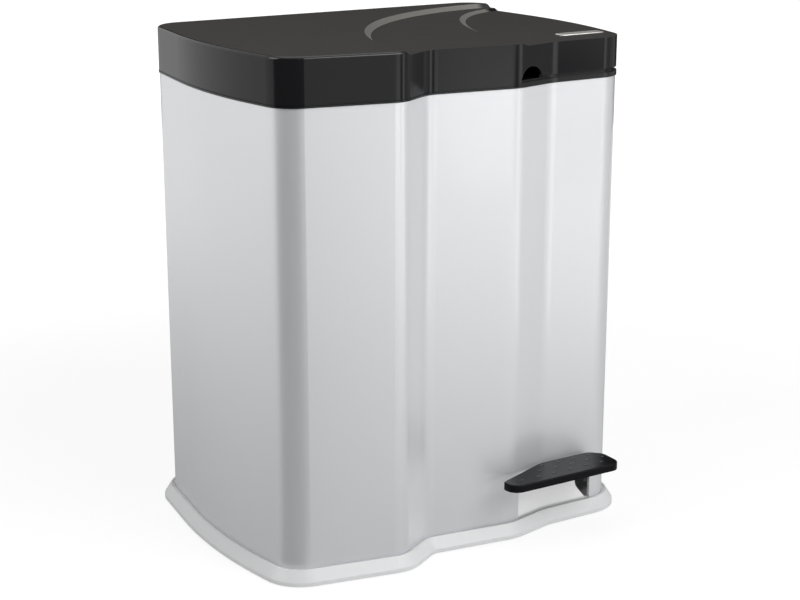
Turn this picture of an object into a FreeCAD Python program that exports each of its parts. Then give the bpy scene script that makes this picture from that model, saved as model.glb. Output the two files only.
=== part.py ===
"""Double recycling bin: a wrapped sheet-steel body on a flared base, with one rear-hinged lid over two
inner buckets. A pedal turns a cross shaft under the raised base deck, whose rear arm lifts a push rod
that opens the lid through a crank.

Frame: millimetres, +Z up, +X to the right seen from the front, the front faces -Y. The origin is on the
floor under the centre of the bounding box. Plan places are given as a distance ahead of the rear of the
steel body (the "rear line"), so Y = rear line - distance.
"""

import FreeCAD, Part
import Sketcher

import math
import os
import re

Vector = FreeCAD.Vector

OVER = 1      # how far a cutting tool reaches past the face that it opens, and fused pieces into each other
FLAT = 0.5    # half the straight stretch left between two round corners of one end
HAIR = 0.01   # the same where the end has to be as good as a full round

# ---------------------------------------------------------------------------------------------------
# Driving dimensions
# ---------------------------------------------------------------------------------------------------

SIZES = {
    # Plan outline of the steel body: corners of the polygon that its arcs round off, and their radii.
    "rear_corner_across": 200,      # half the width at the rear corners
    "side_bulge_across": 220,       # half the width at the point of the bowed sides
    "side_bulge_ahead": 170,
    "front_left_across": 198,
    "front_left_ahead": 289,
    "front_right_across": 196,
    "front_right_ahead": 286,
    "crest_one_across": 80,         # left panel's right end, left of the middle
    "crest_one_ahead": 311,
    "valley_one_across": 40,
    "valley_one_ahead": 287,
    "crest_two_across": 57,         # middle panel's right end, right of the middle
    "crest_two_ahead": 299,
    "valley_two_across": 106,
    "valley_two_ahead": 287,
    "corner_round": 32,
    "side_bow": 0.66,               # share of a side's front half that its arc takes
    "crest_one_round": 26,
    "valley_one_round": 30,
    "crest_two_round": 45,
    "valley_two_round": 55,
    # Heights above the floor.
    "foot_proud": 1,
    "plinth_band_top": 7,
    "plinth_top": 16,
    "groove_bottom": 9,
    "deck_top": 75,
    "jacket_top": 474.4,
    "rim_high": 5.6,                # the rim's land above the steel's top edge
    "lid_high": 41,                 # the lid's top above the rim's land
    "lid_gap": 0.5,
    "ledge_one_drop": 4.5,
    "ledge_two_drop": 2.5,
    # Base moulding.
    "plinth_flare": 12,
    "plinth_round": 3,
    "plinth_lip": 5,
    "plinth_lip_wall": 1.6,
    "plinth_moat": 1.5,             # depth of the channel between the plinth's raised lip and the steel
    "plinth_wall": 2.5,
    "groove_gap": 0.4,
    "base_wall": 2.5,
    "base_flange": 13,
    "deck_wall": 2.5,
    "deck_skin": 0.4,               # left above a blind screw hole
    "deck_rib": 3,
    "deck_rib_wall": 2,
    "deck_rib_gap": 0.6,
    "seat_gap": 0.3,
    "slot_before_arm": 13,          # the lever slot's left edge, left of the pedal arm
    "slot_sweep": 14,
    "slot_sill": 3,
    "slot_below_window": 2,
    "slot_deep": 20,
    # Steel jacket.
    "jacket_wall": 0.8,
    "window_past_arm": 6,
    "window_long": 100,
    "window_deep": 20,
    "window_top": 67,
    "seam_width": 9,
    "seam_proud": 0.8,
    "low_screw_height": 45,
    "high_screw_drop": 12,
    "high_screw_shift": 45,
    # Upper rim.
    "rim_proud": 1.2,
    "rim_bead": 1,                  # outside the steel, below its top edge
    "rim_cap": 0.8,                 # over the steel's top edge
    "rim_band": 3.8,                # raised part under the finger slit
    "rim_thick": 3.2,
    "rim_set_in": 2,                # room for the lid's skirt outside the land
    "rim_land": 14,
    "rim_skirt": 22,
    "rim_wall": 2,
    "rim_lip_inset": 4,
    "rim_lip": 7,
    "rim_grip_deep": 25,            # the rim's lip is open behind the finger notch
    # Lid.
    "lid_proud": 0.8,
    "lid_wall": 2.4,
    "lid_round": 3,
    "ledge_one_across": 207,
    "ledge_one_ahead": 308,
    "ledge_one_radius": 285,
    "ledge_two_across": 218,
    "ledge_two_ahead": 300,
    "ledge_two_long": 265,
    "ledge_two_short": 155,
    "ledge_bevel": 3.2,
    "grip_across": 76,
    "grip_radius": 15,
    "grip_long": 27,
    "grip_lift": 3.8,               # height of the finger slit above the rim's band
    "grip_side_ahead": 235,
    "post_radius": 3.5,
    # Hinge, crank and push rod.
    "hinge_behind": 7.5,
    "hinge_drop": 4,
    "hinge_across": 115,
    "hinge_relief": 30,             # the lid's skirt is short this far to both sides of a hinge
    "knuckle_radius": 5.5,
    "knuckle_width": 22,
    "lug_width": 11,
    "knuckle_gap": 0.5,
    "knuckle_web": 14,
    "lug_web": 2.5,
    "pin_radius": 2,
    "pin_head_radius": 3.5,
    "pin_head": 1.5,
    "pin_tail": 2.5,
    "pin_cap_wall": 2,
    "pin_cap_width": 3,
    "run_gap": 0.06,
    "crank_radius": 38,
    "crank_swing": 80,
    "crank_nose": 4,
    "crank_width": 9,
    "crank_gap": 1.5,
    "crank_waist": 12,              # above the nose
    "crank_waist_round": 20,
    "crank_foot_round": 2,
    "crank_boss": 6,
    "crank_flange": 3,
    "crank_flange_across": 22,
    "crank_screw_across": 16,
    "crank_screw_before": 8,
    "crank_screw_long": 8,
    "foot_gap": 1.4,
    "rod_radius": 3,
    "rod_cap_radius": 7.5,
    "rod_cap_height": 6,
    "rod_cap_floor": 2,
    "rod_head_round": 1.5,
    "bush_wall": 2,
    "bush_gap": 0.2,
    "bush_flange": 2,
    "bush_flange_thick": 1.5,
    "bush_below": 2,
    "guide_drop": 20,
    "guide_high": 10,
    "guide_across": 14,
    "guide_back": 4,
    "guide_eye_wall": 3.5,
    "guide_screw_across": 9,
    # Pedal and levers.
    "pedal_gap": 8,
    "pedal_deep": 43,
    "pedal_in": 24,
    "pedal_long": 141,
    "pedal_top": 72,
    "pedal_thick": 8,
    "pedal_wall": 2.2,
    "pedal_round": 1.4,
    "pedal_rib": 2,
    "pedal_seat_left": 11,
    "pedal_seat_right": 7,
    "pedal_seat_in": 3,
    "pedal_notch": 10,
    "pad_screw_before_arm": 6.2,
    "pad_screw_long": 5,
    "shaft_ahead": 226,
    "shaft_height": 38.4,
    "shaft_radius": 4.5,
    "arm_in": 9,
    "arm_thick": 4,
    "arm_boss": 8,                  # half the height of both lever plates round the cross shaft
    "arm_flange": 2,
    "arm_end_gap": 5,               # behind the pad's front
    "arm_toe": 3,                   # the blade below the pad's lower edge
    "arm_toe_round": 2,
    "arm_shoulder_in": 20,          # top of the blade, behind the steel's front
    "arm_shoulder_drop": 4,
    "arm_shoulder_round": 12,
    "arm_heel": 5,                  # the blade's lowest place below the shaft's axis
    "arm_heel_round": 8,
    "rear_arm_thick": 4,
    "rear_arm_round": 20,
    "shoe_across": 7,
    "shoe_thick": 2,
    "shoe_deep": 9,
    "shoe_before": 12,              # ahead of the rod's axis
    "shoe_past": 10,
    "shoe_round": 4,
    "shaft_past": 4,
    "bearing_left": 22,
    "bearing_before_arm": 25,
    "bearing_width": 14,
    "bearing_foot": 5,
    "bearing_wall": 4.5,
    "bearing_ear": 5,
    "bearing_ear_round": 2,
    "bearing_flare": 1,
    "bearing_fillet": 1.2,
    "bearing_screw_apart": 31,
    "clip_wall": 3,
    "clip_thick": 1.2,
    "clip_gap": 0.4,
    # Buckets.
    "bucket_gap": 12,
    "bucket_behind": 12,
    "bucket_clear": 3,
    "bucket_drop": 10,
    "bucket_wall": 2,
    "bucket_draft": 1.6,
    "bucket_foot_round": 18,
    "bucket_bow": 4,                # further out than the body's rear corners allow, into its bowed side
    "bucket_flange": 6,
    "bucket_flange_thick": 2.5,
    "bucket_lip": 8,
    # Small parts.
    "foot_radius": 7,
    "foot_in": 18,
    "foot_ahead": 14,
    "foot_beside_mouth": 5,
    "foot_seat": 1,
    "screw_radius": 1.7,
    "screw_head_radius": 3.6,
    "screw_head": 2,
    "screw_gap": 0.05,              # round the thread in the piece that holds it
    "screw_pass": 0.2,              # round the shank in the piece that it clamps
    "screw_tip": 0.2,               # below the end of a blind hole
    "jacket_screw_long": 8,
    "guide_screw_long": 4,
    "foot_play": 0.1,
    "buffer_in": 45,
    "buffer_behind": 10.5,
    "buffer_radius": 4,
    "buffer_stem_radius": 2,
    "buffer_stem": 2.5,
    "buffer_proud": 3,
    "buffer_gap": 0.3,
}

# Places that follow from the dimensions above.
DERIVED = {
    "rim_top": "(jacket_top + rim_high)",
    "lid_top": "(rim_top + lid_high)",
    "hinge_height": "(rim_top - hinge_drop)",
    "bucket_top": "(rim_top - bucket_drop)",
    "pedal_rear": "(front_right_ahead + pedal_gap)",
    "pedal_front": "(pedal_rear + pedal_deep)",
    "pedal_right": "(front_right_across - pedal_in)",
    "pedal_left": "(pedal_right - pedal_long)",
    "arm_across": "(pedal_right - arm_in)",
    "window_right": "(arm_across + window_past_arm)",
    "window_left": "(window_right - window_long)",
    "bearing_right": "(arm_across - bearing_before_arm)",
}

doc = FreeCAD.newDocument("recycling_bin")
sheet = doc.addObject("Spreadsheet::Sheet", "sizes")
for row, (alias, number) in enumerate(SIZES.items(), start=1):
    sheet.set(f"A{row}", alias.replace("_", " "))
    sheet.set(f"B{row}", str(number))
    sheet.setAlias(f"B{row}", alias)
doc.recompute()


def bound(text):
    """The expression text with derived names written out and every alias as a path into the sheet."""
    def path(word):
        name = word.group()
        if name in DERIVED:
            return bound(DERIVED[name])
        return f"sizes.{name}" if name in SIZES else name
    return re.sub(r"[a-z][a-z_]*[a-z]", path, str(text))


def value(text):
    """The number that an expression on the driving dimensions gives."""
    return float(sheet.evalExpression(bound(text)))


def tie(thing, name, text):
    """Bind one property of an object to an expression on the driving dimensions."""
    thing.setExpression(name, bound(text))


# Places that several pieces share, as expressions.
REAR = "((pedal_front - hinge_behind - knuckle_radius) / 2)"
HINGE_Y = f"({REAR} + hinge_behind)"
ROD_Y = f"({HINGE_Y} - crank_radius * (1 + cos(crank_swing / 2 * 1deg)) / 2)"
NOSE_Y = f"({HINGE_Y} - crank_radius * cos(crank_swing / 2 * 1deg))"
NOSE_Z = "(hinge_height - crank_radius * sin(crank_swing / 2 * 1deg))"
ROD_TOP = f"({NOSE_Z} - crank_nose - crank_gap)"
ROD_TRAVEL = "(2 * crank_radius * sin(crank_swing / 2 * 1deg))"
SHAFT_Y = f"({REAR} - shaft_ahead)"
ARM_TIP_Z = f"(shaft_height - {ROD_TRAVEL} / 2)"
DECK_BOTTOM = "(deck_top - deck_wall)"
BASE_OUT = "(-jacket_wall - seat_gap)"
BASE_IN = f"({BASE_OUT} - base_wall)"
LID_UNDER = "(lid_top - lid_wall)"
CRANK_FOOT_TOP = f"({LID_UNDER} - crank_boss)"
CRANK_FOOT_LOW = f"({CRANK_FOOT_TOP} - crank_flange)"
WALL_IN = f"({REAR} - jacket_wall)"         # inner face of the steel at the rear
BASE_REAR_IN = f"({WALL_IN} - seat_gap - base_wall)"
THREAD = "screw_radius + screw_gap"
PASS = "screw_radius + screw_pass"
PIN_REACH = "(knuckle_width / 2 + knuckle_gap + lug_width)"
CAP_TOP = "(jacket_top + rim_cap)"
BAND_TOP = "(jacket_top + rim_band)"
SLIT_TOP = f"({BAND_TOP} + grip_lift)"
SKIRT_FOOT = f"({CAP_TOP} + lid_gap)"
REAR_SKIRT_FOOT = "(rim_top + lid_gap)"
SIDE_TURN = ("(atan((side_bulge_across - rear_corner_across) / side_bulge_ahead)"
             " + atan((side_bulge_across - front_left_across) / (front_left_ahead - side_bulge_ahead)))")
SIDE_ROUND = f"(side_bow * (front_left_ahead - side_bulge_ahead) / tan({SIDE_TURN} / 2))"


def ahead(distance):
    """Y of a point that lies the given distance ahead of the rear line."""
    return f"({REAR} - ({distance}))"


# ---------------------------------------------------------------------------------------------------
# Sketch and solid helpers
# ---------------------------------------------------------------------------------------------------

def rounded_profile(sketch, corners):
    """Draw a closed chain of lines and tangent arcs in a sketch, fully constrained: corners are
    (x, y, radius) expressions, counter-clockwise, and a radius of 0 leaves the corner sharp."""
    count = len(corners)
    at = [Vector(value(x), value(y), 0) for x, y, _ in corners]
    radii = [value(radius) for _, _, radius in corners]
    geometry, ends, arcs = [], [], {}
    for i in range(count):
        back = (at[i - 1] - at[i]).normalize()
        on = (at[(i + 1) % count] - at[i]).normalize()
        if not radii[i]:
            ends.append((at[i], at[i]))
            continue
        half = back.getAngle(on) / 2
        reach = radii[i] / math.tan(half)
        centre = at[i] + (back + on).normalize() * (radii[i] / math.sin(half))
        first, last = at[i] + back * reach, at[i] + on * reach
        ends.append((first, last))
        left_turn = (first - at[i - 1]).cross(last - first).z > 0
        a, b = (first, last) if left_turn else (last, first)
        angle_a = math.atan2(a.y - centre.y, a.x - centre.x)
        angle_b = math.atan2(b.y - centre.y, b.x - centre.x)
        if angle_b < angle_a:
            angle_b += 2 * math.pi
        circle = Part.Circle(centre, Vector(0, 0, 1), radii[i])
        arcs[i] = (len(geometry), 1 if left_turn else 2)
        geometry.append(Part.ArcOfCircle(circle, angle_a, angle_b))
    lines = []
    for i in range(count):
        lines.append(len(geometry))
        geometry.append(Part.LineSegment(ends[i][1], ends[(i + 1) % count][0]))
    sketch.addGeometry(geometry, False)
    marks = []
    for i in range(count):
        marks.append(len(geometry) + i)
        sketch.addGeometry(Part.Point(at[i]), True)
    rules, names = [], []
    for i in range(count):
        before, after = lines[i - 1], lines[i]
        if i in arcs:
            arc, start = arcs[i]
            rules.append(Sketcher.Constraint("Tangent", before, 2, arc, start))
            rules.append(Sketcher.Constraint("Tangent", arc, 3 - start, after, 1))
            rules.append(Sketcher.Constraint("PointOnObject", marks[i], 1, before))
            rules.append(Sketcher.Constraint("PointOnObject", marks[i], 1, after))
            names.append((len(rules), corners[i][2]))
            rules.append(Sketcher.Constraint("Radius", arc, radii[i]))
        else:
            rules.append(Sketcher.Constraint("Coincident", before, 2, after, 1))
            rules.append(Sketcher.Constraint("Coincident", marks[i], 1, after, 1))
        names.append((len(rules), corners[i][0]))
        rules.append(Sketcher.Constraint("DistanceX", -1, 1, marks[i], 1, at[i].x))
        names.append((len(rules), corners[i][1]))
        rules.append(Sketcher.Constraint("DistanceY", -1, 1, marks[i], 1, at[i].y))
    sketch.addConstraint(rules)
    for index, text in names:
        tie(sketch, f"Constraints[{index}]", text)


def plane_sketch(name, corners):
    """A rounded profile in a sketch of its own on the XY plane."""
    sketch = doc.addObject("Sketcher::SketchObject", name)
    rounded_profile(sketch, corners)
    return sketch


def grown(source, by):
    """The outline grown outwards by an expression, as an Offset2D object."""
    number = value(by)
    if not number:
        return source
    offset = doc.addObject("Part::Offset2D", f"{source.Name}_grown")
    offset.Source = source
    offset.Value = number
    tie(offset, "Value", by)
    return offset


def prism(source, low, high, by="0", taper="0"):
    """A vertical prism on an outline grown by an expression, between two heights."""
    solid = doc.addObject("Part::Extrusion", "prism")
    solid.Base = grown(source, by)
    solid.DirMode = "Custom"
    solid.Dir = Vector(0, 0, 1)
    solid.Solid = True
    tie(solid, "LengthFwd", f"({high}) - ({low})")
    tie(solid, "TaperAngle", taper)
    tie(solid, "Placement.Base.z", low)
    return solid


def ring(source, low, high, outer, inner):
    """A wall that follows the outline, between two offsets and two heights."""
    hollow = prism(source, f"({low}) - {OVER}", f"({high}) + {OVER}", inner)
    return cut(prism(source, low, high, outer), hollow)


def box(x, y, z):
    """A box between pairs of expressions along X, Y and Z."""
    solid = doc.addObject("Part::Box", "block")
    for axis, side, (low, high) in zip("xyz", ("Length", "Width", "Height"), (x, y, z)):
        tie(solid, side, f"({high}) - ({low})")
        tie(solid, f"Placement.Base.{axis}", low)
    return solid


TURNS = {"x": (Vector(0, 1, 0), 90), "y": (Vector(1, 0, 0), -90), "z": (Vector(0, 0, 1), 0)}


def rod(axis, start, radius, length, top=None):
    """A cylinder, or a cone that ends in the radius top, from a start point along +X, +Y or +Z."""
    solid = doc.addObject("Part::Cone" if top else "Part::Cylinder", "round")
    if top:
        tie(solid, "Radius1", radius)
        tie(solid, "Radius2", top)
    else:
        tie(solid, "Radius", radius)
    tie(solid, "Height", length)
    solid.Placement.Rotation = FreeCAD.Rotation(*TURNS[axis])
    for name, text in zip("xyz", start):
        tie(solid, f"Placement.Base.{name}", text)
    return solid


def cut(base, tool):
    result = doc.addObject("Part::Cut", "cut")
    result.Base, result.Tool = base, tool
    return result


def fuse(*shapes):
    result = doc.addObject("Part::MultiFuse", "fuse")
    result.Shapes = list(shapes)
    return result


def common(*shapes):
    result = doc.addObject("Part::MultiCommon", "common")
    result.Shapes = list(shapes)
    return result


def group(shapes):
    """Separate solids of one node, kept apart."""
    result = doc.addObject("Part::Compound", "group")
    result.Links = list(shapes)
    return result


def rounded_top(solid, radius, height):
    """Round the edges of a solid that lie wholly at one height."""
    doc.recompute()
    level = value(height)
    edges = [
        number for number, edge in enumerate(solid.Shape.Edges, start=1)
        if abs(edge.BoundBox.ZMin - level) < 1e-4 and abs(edge.BoundBox.ZMax - level) < 1e-4
    ]
    result = doc.addObject("Part::Fillet", "rounded")
    result.Base = solid
    result.Edges = [(number, value(radius), value(radius)) for number in edges]
    return result


def body_sketch(body, name, plane):
    """A sketch on one of the body's own origin planes."""
    sketch = body.newObject("Sketcher::SketchObject", name)
    face = [part for part in body.Origin.OriginFeatures if part.Role == plane][0]
    sketch.AttachmentSupport = (face, "")
    sketch.MapMode = "FlatFace"
    return sketch


def plate(name, plane, corners, thick, middle):
    """A flat plate: a rounded profile on a plane of the body, padded evenly to both sides of the place
    named middle along the plane's normal."""
    body = doc.addObject("PartDesign::Body", name)
    sketch = body_sketch(body, f"{name}_profile", plane)
    rounded_profile(sketch, corners)
    pad = body.newObject("PartDesign::Pad", f"{name}_pad")
    pad.Profile = sketch
    pad.SideType = "Symmetric"
    tie(pad, "Length", thick)
    tie(body, "Placement.Base.x" if plane == "YZ_Plane" else "Placement.Base.z", middle)
    return body


def turned(name, start, axis, steps, nose="0"):
    """A turned part: one revolved profile. steps are (radius, length) expressions from the start point
    along the axis, so that a screw or a pin is one solid. nose rounds the edge of the first end."""
    body = doc.addObject("PartDesign::Body", name)
    sketch = body_sketch(body, f"{name}_profile", "XZ_Plane")
    corners = [("0", "0", "0")]
    height = "0"
    for radius, length in steps:
        corners.append((radius, height, "0" if height != "0" else nose))
        height = f"({height} + {length})"
        corners.append((radius, height, "0"))
    corners.append(("0", height, "0"))
    rounded_profile(sketch, corners)
    spin = body.newObject("PartDesign::Revolution", f"{name}_turn")
    spin.Profile = sketch
    spin.ReferenceAxis = (sketch, ["V_Axis"])
    spin.Angle = 360
    body.Placement.Rotation = FreeCAD.Rotation(Vector(0, 0, 1), axis)
    for letter, text in zip("xyz", start):
        tie(body, f"Placement.Base.{letter}", text)
    return body


nodes = {}


def node(name, shape):
    """Name a finished sub-part: the label is the node and the file."""
    shape.Label = name
    nodes[name] = shape
    return shape


# ---------------------------------------------------------------------------------------------------
# The outline that the body, lid, rim and base share
# ---------------------------------------------------------------------------------------------------

outline = plane_sketch("body_outline", [
    ("-rear_corner_across", ahead("0"), "corner_round"),
    ("-side_bulge_across", ahead("side_bulge_ahead"), SIDE_ROUND),
    ("-front_left_across", ahead("front_left_ahead"), "corner_round"),
    ("-crest_one_across", ahead("crest_one_ahead"), "crest_one_round"),
    ("-valley_one_across", ahead("valley_one_ahead"), "valley_one_round"),
    ("crest_two_across", ahead("crest_two_ahead"), "crest_two_round"),
    ("valley_two_across", ahead("valley_two_ahead"), "valley_two_round"),
    ("front_right_across", ahead("front_right_ahead"), "corner_round"),
    ("side_bulge_across", ahead("side_bulge_ahead"), SIDE_ROUND),
    ("rear_corner_across", ahead("0"), "corner_round"),
])


def rounded_box(name, x, y, radius):
    """A rounded rectangle in plan, for the buckets."""
    (left, right), (front, rear) = x, y
    return plane_sketch(name, [
        (left, rear, radius), (left, front, radius), (right, front, radius), (right, rear, radius)])


# ---------------------------------------------------------------------------------------------------
# Base
# ---------------------------------------------------------------------------------------------------

FOOT_PLACES = [
    (f"{side} * {across}", ahead(distance))
    for side in (-1, 1)
    for across, distance in (("(rear_corner_across - foot_in)", "foot_ahead"),
                             ("(side_bulge_across - base_flange - foot_beside_mouth)", "side_bulge_ahead"),
                             ("(front_right_across - foot_in)", "(front_right_ahead - foot_ahead)"))
]


def base_moulding():
    """Flared plinth, groove for the jacket, upstand wall and raised deck, in one moulding."""
    band = prism(outline, "foot_proud", "plinth_band_top", "plinth_flare")
    flare = rounded_top(band, "plinth_round", "plinth_band_top")
    inset = "plinth_round * (1 - cos(45deg))"
    slope_out, slope_low = f"(plinth_flare - {inset})", f"(plinth_band_top - {inset})"
    slope = prism(outline, slope_low, "plinth_top", slope_out,
                  f"-atan(({slope_out} - plinth_lip) / (plinth_top - {slope_low})) / 1deg")
    wall = prism(outline, "foot_proud", "deck_top", BASE_OUT)
    solid = fuse(flare, slope, wall)
    hollow = prism(outline, "foot_proud + base_wall", DECK_BOTTOM, BASE_IN)
    mouth = prism(outline, "0", f"foot_proud + base_wall + {OVER}", f"{BASE_IN} - base_flange")
    groove = ring(outline, "groove_bottom", f"deck_top + {OVER}", "groove_gap", BASE_OUT)
    moat = ring(outline, "plinth_top - plinth_moat", f"deck_top + {OVER}", "plinth_lip - plinth_lip_wall",
                "-jacket_wall")
    channel = ring(outline, "0", "plinth_band_top - plinth_wall", "plinth_flare - plinth_wall", BASE_OUT)
    slot = lever_slot()
    seats = [rod("z", (x, y, "0"), "foot_radius", "foot_proud + foot_seat") for x, y in FOOT_PLACES]
    bush_hole = rod("z", ("0", ROD_Y, f"{DECK_BOTTOM} - {OVER}"), f"{BUSH_OUT} + bush_gap",
                    f"deck_wall + 2 * {OVER}")
    shaft_screws = [rod("z", (x, y, f"{DECK_BOTTOM} - {OVER}"), THREAD, f"deck_wall - deck_skin + {OVER}")
                    for x, y in bearing_screw_places()]
    wall_screws = [rod("y", (x, f"{BASE_REAR_IN} - {OVER}", z), THREAD, f"base_wall + 2 * {OVER}")
                   for x, z in LOW_SCREWS]
    hollowed = cut(solid, fuse(hollow, mouth, groove, moat, channel, slot, bush_hole,
                               *seats, *shaft_screws, *wall_screws))
    ribs = [ring(bucket_feet[side], "deck_top - deck_wall / 2", "deck_top + deck_rib",
                 "deck_rib_gap + deck_rib_wall", "deck_rib_gap")
            for side in ("left", "right")]
    return fuse(hollowed, *ribs)


def lever_slot():
    """The way of the pedal arm through the upstand: its left edge sweeps down to the sill in a curve."""
    left = "(arm_across - slot_before_arm)"
    body = doc.addObject("PartDesign::Body", "lever_slot")
    sketch = body_sketch(body, "lever_slot_profile", "XZ_Plane")
    rounded_profile(sketch, [
        ("arm_across + arm_thick / 4", "plinth_top", "0"), ("window_right", "plinth_top", "0"),
        ("window_right", "window_top - slot_below_window", "slot_below_window"),
        (left, "window_top - slot_below_window", "slot_below_window"),
        (left, "plinth_top + slot_sweep + slot_sill", "slot_sweep")])
    pad = body.newObject("PartDesign::Pad", "lever_slot_pad")
    pad.Profile = sketch
    tie(pad, "Length", "slot_deep")
    tie(body, "Placement.Base.y", ahead("front_right_ahead - 0.6 * slot_deep"))
    return body


LOW_SCREWS = [(f"{side} * hinge_across", "low_screw_height") for side in (-1, 1)]
HIGH_SCREWS = [(f"{side} * (hinge_across + high_screw_shift)", "jacket_top - high_screw_drop")
               for side in (-1, 1)]
GUIDE_LOW = f"({ROD_TOP} - rod_cap_height - guide_drop)"
GUIDE_SCREWS = [(f"{side} * guide_screw_across", f"{GUIDE_LOW} + guide_high / 2") for side in (-1, 1)]
BUSH_OUT = "(rod_radius + run_gap + bush_wall)"


def bearing_screw_places():
    return [(f"{x} + bearing_width / 2", f"{SHAFT_Y} + {side} * bearing_screw_apart / 2")
            for x in ("bearing_left", "bearing_right") for side in (-1, 1)]


# ---------------------------------------------------------------------------------------------------
# Buckets
# ---------------------------------------------------------------------------------------------------

BUCKET_LEAN = "((bucket_top - deck_top) * tan(bucket_draft * 1deg))"
MOUTH = "(rim_land + bucket_clear + bucket_flange)"
BUCKET_FRONT = f"({ahead('valley_one_ahead')} + {MOUTH} + {BUCKET_LEAN})"
BUCKET_REAR = f"({ahead('bucket_behind')} - bucket_flange - {BUCKET_LEAN})"
BUCKET_INNER = f"(bucket_gap / 2 + bucket_flange + {BUCKET_LEAN})"
BUCKET_OUTER = f"(rear_corner_across - {MOUTH} - {BUCKET_LEAN} + bucket_bow)"

bucket_feet = {
    "left": rounded_box("bucket_left_foot", (f"-{BUCKET_OUTER}", f"-{BUCKET_INNER}"),
                        (BUCKET_FRONT, BUCKET_REAR), "bucket_foot_round"),
    "right": rounded_box("bucket_right_foot", (BUCKET_INNER, BUCKET_OUTER),
                         (BUCKET_FRONT, BUCKET_REAR), "bucket_foot_round"),
}


def bucket(foot):
    """A tapered pail with a flange and a turned-down lip to lift it by."""
    outside = prism(foot, "deck_top", "bucket_top", "0", "bucket_draft")
    inside = prism(foot, "deck_top + bucket_wall", f"bucket_top + {OVER}", "-bucket_wall", "bucket_draft")
    flange = prism(foot, "bucket_top - bucket_flange_thick", "bucket_top", f"{BUCKET_LEAN} + bucket_flange")
    lip = ring(foot, "bucket_top - bucket_lip", f"bucket_top - {OVER}", f"{BUCKET_LEAN} + bucket_flange",
               f"{BUCKET_LEAN} + bucket_flange - bucket_wall")
    return cut(fuse(outside, flange, lip), inside)


# ---------------------------------------------------------------------------------------------------
# Build: base, jacket, rim
# ---------------------------------------------------------------------------------------------------

node("base_moulding", base_moulding())
node("rubber_feet", group([
    rod("z", (x, y, "0"), "foot_radius - foot_play", "foot_proud + foot_seat") for x, y in FOOT_PLACES]))


def steel_jacket():
    """Wrapped sheet that stands in the base's groove, with its seam at the rear and the pedal's window."""
    wall = ring(outline, "groove_bottom", "jacket_top", "0", "-jacket_wall")
    seam = box(("-seam_width / 2", "seam_width / 2"), (f"{REAR} - jacket_wall / 2", f"{REAR} + seam_proud"),
               (f"plinth_top + {OVER}", f"jacket_top - rim_bead - {OVER}"))
    window = box(("window_left", "window_right"),
                 (ahead(f"crest_two_ahead + {OVER}"), ahead("valley_two_ahead - window_deep")),
                 ("0", "window_top"))
    holes = [rod("y", (x, f"{WALL_IN} - {OVER}", z), PASS, f"jacket_wall + 2 * {OVER}")
             for x, z in LOW_SCREWS + HIGH_SCREWS + GUIDE_SCREWS]
    return cut(fuse(wall, seam), fuse(window, *holes))


node("steel_jacket", steel_jacket())
node("jacket_screws", group([
    turned("jacket_screw", (x, f"{REAR} + screw_head", z), Vector(0, -1, 0),
           [("screw_head_radius", "screw_head"), ("screw_radius", "jacket_screw_long")])
    for x, z in LOW_SCREWS + HIGH_SCREWS]))


def hinge_lug(x):
    barrel = rod("x", (x, HINGE_Y, "hinge_height"), "knuckle_radius", "lug_width")
    web = box((x, f"{x} + lug_width"), (f"{REAR} + rim_proud / 2", HINGE_Y),
              ("hinge_height - lug_web", "hinge_height + lug_web"))
    return fuse(barrel, web)


LUG_SHIFTS = ("(-knuckle_width / 2 - knuckle_gap - lug_width)", "(knuckle_width / 2 + knuckle_gap)")
LUG_STARTS = [f"{side} * hinge_across + {shift}" for side in (-1, 1) for shift in LUG_SHIFTS]


def slit_zone(inset, low, high):
    """The right front corner, where the lid's skirt is cut back over a raised band of the rim."""
    return box((f"grip_across - grip_radius + {inset}", "side_bulge_across + plinth_flare"),
               (ahead("crest_one_ahead + plinth_flare"), ahead(f"grip_side_ahead + {inset}")), (low, high))


def rear_zone(inset, low, high):
    """The stretch of the rear wall where the lid's skirt is short, to clear the hinge lugs."""
    reach = f"(hinge_across + hinge_relief - {inset})"
    return box((f"-{reach}", reach), (f"{REAR} - 3 * lid_wall", f"{REAR} + rim_proud + {OVER}"), (low, high))


def hinge_bores():
    return [rod("x", (f"{side} * hinge_across - {PIN_REACH} - {OVER}", HINGE_Y, "hinge_height"),
                "pin_radius + run_gap", f"2 * {PIN_REACH} + 2 * {OVER}") for side in (-1, 1)]


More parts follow.
